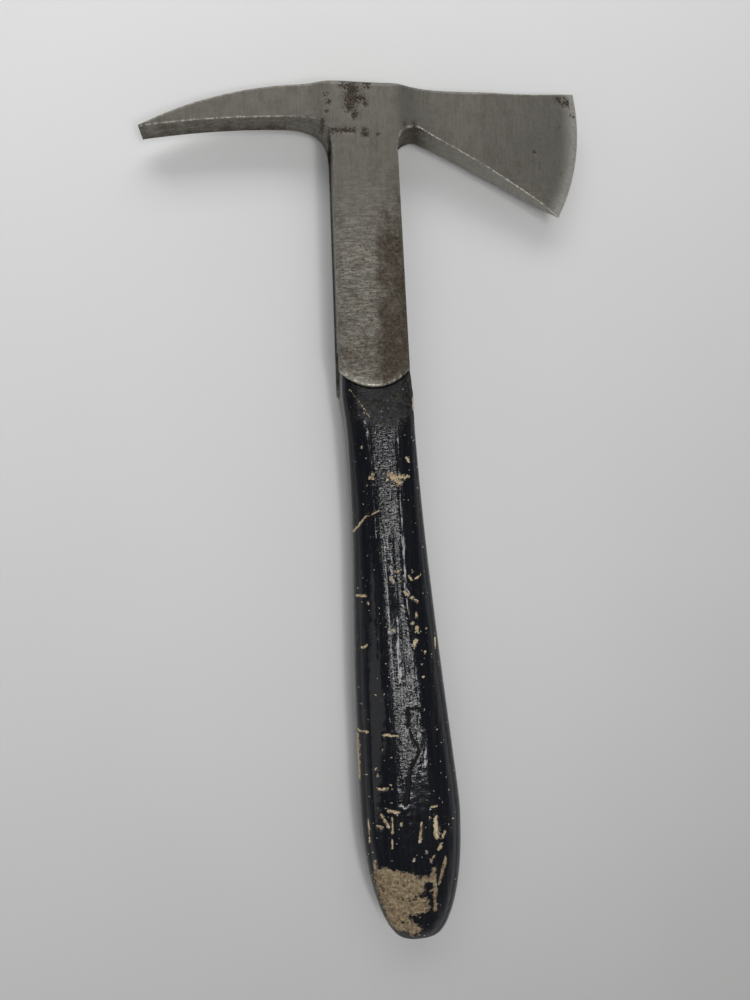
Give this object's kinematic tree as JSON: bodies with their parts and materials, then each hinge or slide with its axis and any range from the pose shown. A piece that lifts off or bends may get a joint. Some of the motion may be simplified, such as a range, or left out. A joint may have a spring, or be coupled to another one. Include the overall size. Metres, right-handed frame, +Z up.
{
  "type": "fireman's belt axe",
  "caption": "Short fire axe with a forged pick and blade head, long straps riveted down a black wooden haft with an oval swell at the butt.",
  "frame": {"origin": "middle of the axe's bounding box, on the surface it lies on", "axes": "+X from the pick to the blade, +Y along the straps from the butt to the top of the head, +Z up through the thickness of the head"},
  "size_m": [0.2094, 0.401, 0.026],
  "materials": {
    "forged_steel": "forged and ground, tarnished, with rust pitting",
    "black_painted_wood": "gloss black paint over hardwood, wrinkled and chipped",
    "bare_hardwood": "bare end grain, weathered",
    "wedge_steel": "hammered and rusty",
    "rivet_steel": "hammered over and ground flush"
  },
  "bodies": {
    "root": {"axe_head": "forged_steel", "haft": "black_painted_wood", "haft_wedge": "bare_hardwood", "left_steel_wedge": "wedge_steel", "right_steel_wedge": "wedge_steel", "upper_rivet": "rivet_steel", "middle_rivet": "rivet_steel", "lower_rivet": "rivet_steel"}
  },
  "joints": []
}
